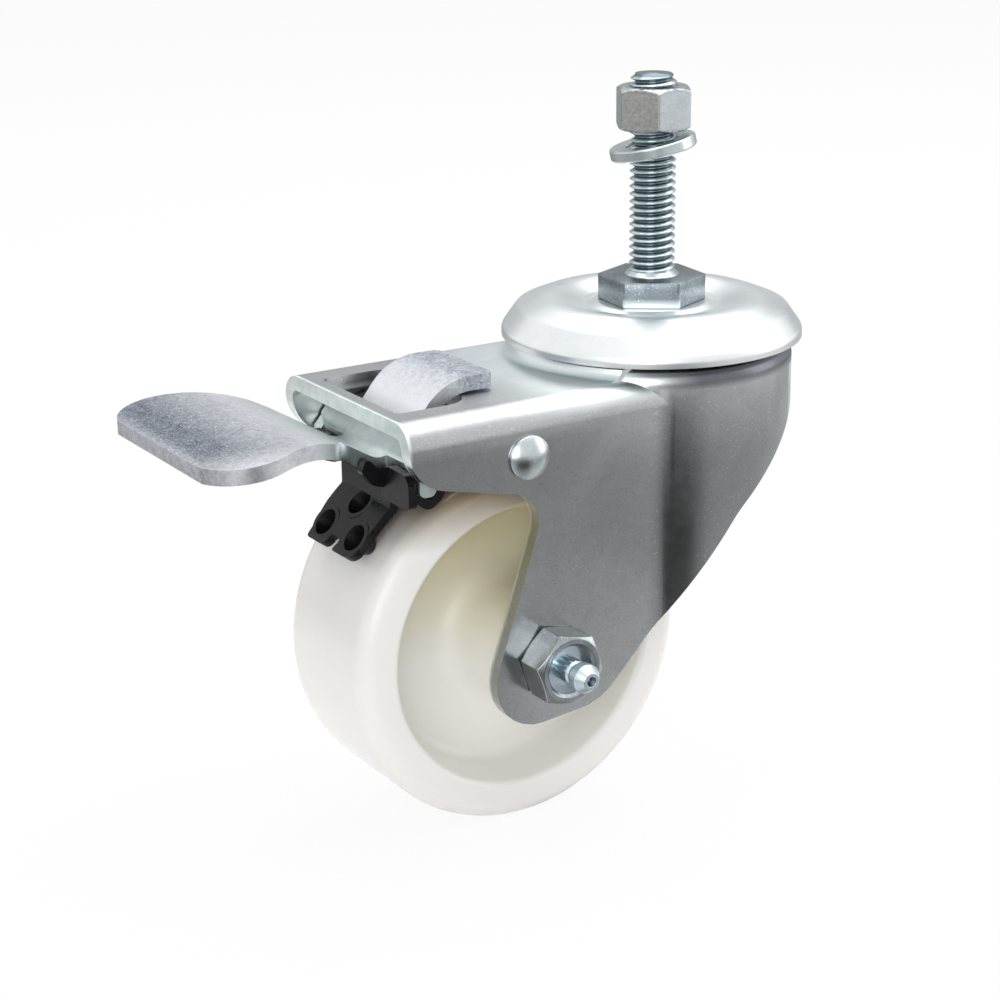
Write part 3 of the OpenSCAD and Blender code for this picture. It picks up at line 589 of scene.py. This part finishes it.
# %% [markdown]
# ## Making pieces
# Every piece ends the same way: its bmesh has its doubles merged and its normals turned outwards,
# it becomes an object at the origin, it is shaded smooth except over sharp edges, it rides on a
# body of the frame, and the solids it stands for are hidden.

# %% Finish a piece
def finish(bm, name, paint, body, *stands_for, sharp=35.0, merge=0.01 * MM, turn=True):
    if merge:
        bmesh.ops.remove_doubles(bm, verts=bm.verts, dist=merge)
    if turn:
        bmesh.ops.recalc_face_normals(bm, faces=bm.faces)
    for face in bm.faces:
        face.smooth = True
    for edge in bm.edges:
        if len(edge.link_faces) == 2:
            edge.smooth = edge.calc_face_angle(0.0) < radians(sharp)
    data = bpy.data.meshes.new(name)
    bm.to_mesh(data)
    bm.free()
    data.materials.append(paint.material)
    obj = link(bpy.data.objects.new(name, data))
    if stands_for:
        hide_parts(*stands_for)
    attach(obj, body)
    print(name, "faces", len(data.polygons))
    return obj


def rounding(obj, width, segments, angle):
    bevel = obj.modifiers.new("edges", "BEVEL")
    bevel.width = width
    bevel.segments = segments
    bevel.limit_method = "ANGLE"
    bevel.angle_limit = radians(angle)
    bevel.harden_normals = True
    bevel.use_clamp_overlap = True
    return obj


# %% [markdown]
# ## Turned and pressed rings
# The wheel, the races and the bush are all bodies of revolution. The wheel and the top race are
# made here, each as one closed profile of radius and height, spun once round its axis. Corners of
# the profile are rounded first by a small function that walks an arc, as a draughtsman rounds them
# with a radius. A corner is written as its radius from the axis, its height and the radius of its
# rounding, all in millimetres.

# %% Round a profile and spin it
def arc_corner(a, b, c, steps):
    a, p, c, r = Vector(a[:2]), Vector(b[:2]), Vector(c[:2]), b[2]
    if not r:
        return [p]
    u, w = (a - p).normalized(), (c - p).normalized()
    half = u.angle(w) / 2
    centre = p + (u + w).normalized() * (r / sin(half))
    start, end = p + u * (r / tan(half)) - centre, p + w * (r / tan(half)) - centre
    first = atan2(start.y, start.x)
    sweep = (atan2(end.y, end.x) - first + pi) % (2 * pi) - pi
    return [centre + Vector((cos(first + sweep * i / steps), sin(first + sweep * i / steps))) * r
            for i in range(steps + 1)]


def rounded(points, steps=6, closed=True):
    n = len(points)
    inner = range(n) if closed else range(1, n - 1)
    made = [p for i in inner for p in arc_corner(points[i - 1], points[i], points[(i + 1) % n], steps)]
    return made if closed else [Vector(points[0][:2])] + made + [Vector(points[-1][:2])]


def spun(profile, steps=96, closed=True):
    bm = bmesh.new()
    verts = [bm.verts.new((p.x * MM, 0.0, p.y * MM)) for p in profile]
    edges = [bm.edges.new((verts[i], verts[i + 1])) for i in range(len(verts) - 1)]
    if closed:
        edges.append(bm.edges.new((verts[-1], verts[0])))
    bmesh.ops.spin(bm, geom=verts + edges, cent=(0, 0, 0), axis=(0, 0, 1), angle=2 * pi,
                   steps=steps, use_merge=True)
    return bm


def onto_axle(bm, centre):
    bm.transform(Matrix.Translation(centre) @ Matrix.Rotation(radians(90), 4, "X"))
    return bm


# %% [markdown]
# ## Wheel
# The wheel is one moulding: a tread with big rounded edges, a rim whose inside leans in a little
# so that it leaves its mould, a thin web and a hub with a deep root radius. A half profile is
# mirrored, so both sides match.

# %% Wheel
half_wheel = rounded([(6.43, 0, 0), (6.43, 21.4, 0.5), (10.5, 21.4, 1.0), (12.0, 4.75, 6.0),
                      (28.0, 5.35, 3.4), (29.8, 15.875, 1.4), (38.1, 15.875, 3.9), (38.1, 0, 0)], 10)
profile = half_wheel + [Vector((p.x, -p.y)) for p in reversed(half_wheel[1:-1])]
finish(onto_axle(spun(profile, 160), AXLE), "nylon_wheel", white_nylon, "wheel", "wheel")

# %% [markdown]
# ## Top race
# The top race is a disc of sheet pressed into a ring-shaped bead, with its rim turned down over
# the balls. Its upper face is drawn as an open run of corners, and the lower face is the same run
# moved in by the thickness of the sheet.

# %% Top race
def thick(run, t):
    lower = []
    for i, p in enumerate(run):
        a, b = run[max(i - 1, 0)], run[min(i + 1, len(run) - 1)]
        before = (p - a).normalized() if i else (b - p).normalized()
        after = (b - p).normalized() if i < len(run) - 1 else before
        m = (before + after).normalized()
        lower.append(p + Vector((m.y, -m.x)) * (t / m.dot(before)))
    return run + lower[::-1]


SHEET = 2.6
RACE_TOP_Z = -5.4
VALLEY_R = 14.0
VALLEY_Z = -6.4
BEAD_R = 21.2
CREASE_R = 28.4
RIM_R = 31.5
slope = tan(radians(22))
bead_z = VALLEY_Z + (BEAD_R - VALLEY_R) * slope
crease_z = bead_z - (CREASE_R - BEAD_R) * slope
upper = rounded([(8.0, RACE_TOP_Z, 0), (11.7, RACE_TOP_Z, 3), (VALLEY_R, VALLEY_Z, 2.8),
                 (BEAD_R, bead_z, 10), (CREASE_R, crease_z, 1.6),
                 (RIM_R, crease_z - 4.32, 2.4), (RIM_R, crease_z - 6.0, 0)], 8, False)
race = finish(spun(thick(upper, SHEET), 160), "top_race_ring", zinc_race, "stem", "top_race",
              sharp=50)
rounding(race, 0.5 * MM, 3, 50)


# %% [markdown]
# ## Stem
# The stem's thread is rolled: a V groove that climbs 1.59 mm a turn. One tooth of its profile is
# spun round the axis while it climbs, which is what the spin operator's offset is for. Turn by
# turn the copies share their edges, so merging doubles makes one long helical skin. It is cut
# square at both ends and capped, and the last turn is drawn in to the chamfer. The corners of the
# tooth are written as a radius and a share of the pitch.

# %% Threaded rod
DEPTH_IN_PITCHES = 0.61


def thread(bottom, top, crest, pitch, steps=40):
    depth = DEPTH_IN_PITCHES * pitch
    turns = int((top - bottom) / pitch) + 3
    bm = bmesh.new()
    teeth = [(crest - depth, 0.0), (crest - depth * 0.98, 0.10), (crest - 0.06 * depth, 0.42),
             (crest, 0.47), (crest, 0.55), (crest - 0.06 * depth, 0.60), (crest - depth * 0.98, 0.92),
             (crest - depth, 1.0)]
    start = bottom - 1.5 * pitch
    verts = [bm.verts.new((r, 0.0, start + f * pitch)) for r, f in teeth]
    edges = [bm.edges.new(pair) for pair in zip(verts, verts[1:])]
    bmesh.ops.spin(bm, geom=verts + edges, cent=(0, 0, 0), axis=(0, 0, 1), angle=2 * pi * turns,
                   dvec=(0, 0, pitch / steps), steps=steps * turns, use_merge=False)
    bmesh.ops.remove_doubles(bm, verts=bm.verts, dist=0.004 * MM)
    for z, facing in ((bottom, -1), (top, 1)):
        cut = bmesh.ops.bisect_plane(bm, geom=bm.verts[:] + bm.edges[:] + bm.faces[:],
                                     plane_co=(0, 0, z), plane_no=(0, 0, facing), clear_outer=True)
        ring = [e for e in cut["geom_cut"] if isinstance(e, bmesh.types.BMEdge)]
        bmesh.ops.edgeloop_fill(bm, edges=ring)
    chamfer = depth * 1.05
    for vert in bm.verts:
        r = hypot(vert.co.x, vert.co.y)
        limit = crest - max(0.0, vert.co.z - (top - chamfer))
        if r > limit:
            vert.co.x *= limit / r
            vert.co.y *= limit / r
    return bm


finish(thread(bottom=0.2 * MM, top=41.5 * MM, crest=THREAD_R, pitch=PITCH), "stem_thread",
       zinc_thread, "stem", sharp=50, merge=0)

# %% [markdown]
# The hexagon is a six-sided prism whose edges the forging die left soft, and the kingpin below it
# is turned. The flare between hexagon and thread is part of the turned profile.

# %% Hexagon and kingpin
def prism(across_flats, low, high, turn):
    bm = bmesh.new()
    made = bmesh.ops.create_circle(bm, cap_ends=True, segments=6,
                                   radius=across_flats / 2 / cos(radians(30)) * MM)
    bmesh.ops.rotate(bm, verts=made["verts"], cent=(0, 0, 0),
                     matrix=Matrix.Rotation(radians(turn + 30), 3, "Z"))
    bmesh.ops.translate(bm, verts=bm.verts, vec=(0, 0, low * MM))
    up = bmesh.ops.extrude_face_region(bm, geom=bm.faces[:])
    raised = [v for v in up["geom"] if isinstance(v, bmesh.types.BMVert)]
    bmesh.ops.translate(bm, verts=raised, vec=(0, 0, (high - low) * MM))
    return bm


collar = prism(across_flats=19.6, low=RACE_TOP_Z, high=0.0, turn=-36)
bmesh.ops.bevel(collar, geom=collar.edges[:], offset=0.35 * MM, affect="EDGES", segments=3,
                profile=0.5, material=-1)
finish(collar, "stem_hexagon", zinc_forged, "stem", "stem")
pin_profile = rounded([(0, -28.68, 0), (8.8, -28.68, 0.6), (10.13, -27.2, 0.8), (10.13, -26.1, 0.2),
                       (7.93, -26.1, 0), (7.93, -2.7, 0), (5.66, -2.7, 0), (5.66, 0.1, 0.2),
                       (4.9, 0.7, 0.5), (4.3, 1.2, 0), (0, 1.2, 0)], 4, False)
finish(spun(pin_profile, 72, closed=False), "kingpin", zinc_turned, "stem")


# %% [markdown]
# ## Nuts
# A nut is the same hexagon with its corners turned off to a cone at both faces, so its corners
# show the well-known curved edges. The curve comes from cutting the prism with a cone, and a
# Boolean of the prism with a turned blank does exactly what the lathe does.

# %% Nuts
def lathe_cut(prism_bm, blank_bm, bore_bm, name):
    def temporary(bm, label):
        bmesh.ops.recalc_face_normals(bm, faces=bm.faces)
        data = bpy.data.meshes.new(label)
        bm.to_mesh(data)
        bm.free()
        return link(bpy.data.objects.new(label, data))

    body = temporary(prism_bm, name + "_raw")
    others = [(temporary(blank_bm, name + "_blank"), "INTERSECT"),
              (temporary(bore_bm, name + "_bore"), "DIFFERENCE")]
    for tool, operation in others:
        cut = body.modifiers.new(operation, "BOOLEAN")
        cut.operation = operation
        cut.object = tool
        cut.solver = "EXACT"
    shaped = body.evaluated_get(bpy.context.evaluated_depsgraph_get()).to_mesh()
    bm = bmesh.new()
    bm.from_mesh(shaped)
    for obj in [body] + [tool for tool, _ in others]:
        bpy.data.objects.remove(obj)
    return bm


def nut(across_flats, low, high, turn, bore, sink=0.7):
    corner = across_flats / 2 / cos(radians(30))
    flat = across_flats / 2 * 0.95
    fall = (corner - flat) * tan(radians(30))
    blank = spun(rounded([(0, low, 0), (flat, low, 0), (corner + 0.05, low + fall, 0),
                          (corner + 0.05, high - fall, 0), (flat, high, 0), (0, high, 0)],
                         1, False), 96, closed=False)
    hole = spun([Vector(p) for p in ((0, low - 1), (bore + sink + 1, low - 1), (bore, low + sink),
                                     (bore, high - sink), (bore + sink + 1, high + 1),
                                     (0, high + 1))], 64, closed=False)
    return lathe_cut(prism(across_flats, low, high, turn), blank, hole, "nut")


loose_nut = nut(across_flats=14.29, low=30.1, high=39.0, turn=2, bore=4.45)
stem_nut = finish(loose_nut, "stem_nut_turned", zinc_nut, "stem_nut", "stem_nut", sharp=28)
rounding(stem_nut, 0.22 * MM, 2, 28)
tight_nut = onto_axle(nut(across_flats=13.8, low=25.0, high=32.3, turn=48, bore=4.95), AXLE)
axle_nut = finish(tight_nut, "axle_nut_turned", zinc_dull, "fork", "axle_nut", sharp=28)
rounding(axle_nut, 0.22 * MM, 2, 28)

# %% [markdown]
# ## Pieces taken over from the solids
# The fork, the lever, the leaf and the small turned pieces already have their true shape. A copy
# of each solid's mesh has its loose triangles merged, and a Bevel modifier breaks its sharp edges
# by a few tenths of a millimetre, because a stamped or turned edge always catches the light.

# %% Take a solid over
def taken_over(node, name, paint, body, width, segments=2, sharp=30.0):
    bm = bmesh.new()
    bm.from_mesh(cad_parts[node].data)
    bm.transform(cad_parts[node].matrix_world)
    bmesh.ops.remove_doubles(bm, verts=bm.verts, dist=0.002 * MM)
    bmesh.ops.dissolve_limit(bm, angle_limit=radians(0.6), verts=bm.verts, edges=bm.edges)
    obj = finish(bm, name, paint, body, node, sharp=sharp, merge=0, turn=False)
    return rounding(obj, width, segments, sharp)


taken_over("fork", "drawn_fork", zinc_fork, "fork", 0.4 * MM)
taken_over("brake_lever", "foot_lever", zinc_lever, "brake", 0.6 * MM, segments=3)
taken_over("brake_leaf", "brake_leaf_sheet", black, "brake", 0.2 * MM)
taken_over("lever_rivet", "pivot_rivet", zinc_turned, "fork", 0.15 * MM)
taken_over("axle_bolt", "axle_bolt_turned", zinc_pale, "fork", 0.2 * MM)
taken_over("grease_fitting", "grease_fitting_turned", zinc_pale, "fork", 0.1 * MM)
taken_over("lock_washer", "split_washer", zinc_turned, "lock_washer", 0.1 * MM)
taken_over("lock_ring", "notched_ring", zinc_sheet, "stem", 0.2 * MM)
taken_over("lower_race", "lower_race_ring", zinc_sheet, "stem", 0.2 * MM)

# %% [markdown]
# The balls and the bush are plain ground shapes whose solids need no new mesh, so only their
# material is set.

# %% Finishes of the solids that stay
for node, paint in (("upper_balls", ball_steel), ("lower_balls", ball_steel),
                    ("fitting_ball", ball_steel), ("spanner_bush", bush_steel)):
    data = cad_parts[node].data
    data.materials.clear()
    data.materials.append(paint.material)
    print(node, "gets", paint.material.name)

# %% [markdown]
# ## View settings
# The Standard view transform shows a colour about as it is written.

# %% Settings and the end
bpy.context.scene.view_settings.view_transform = "Standard"
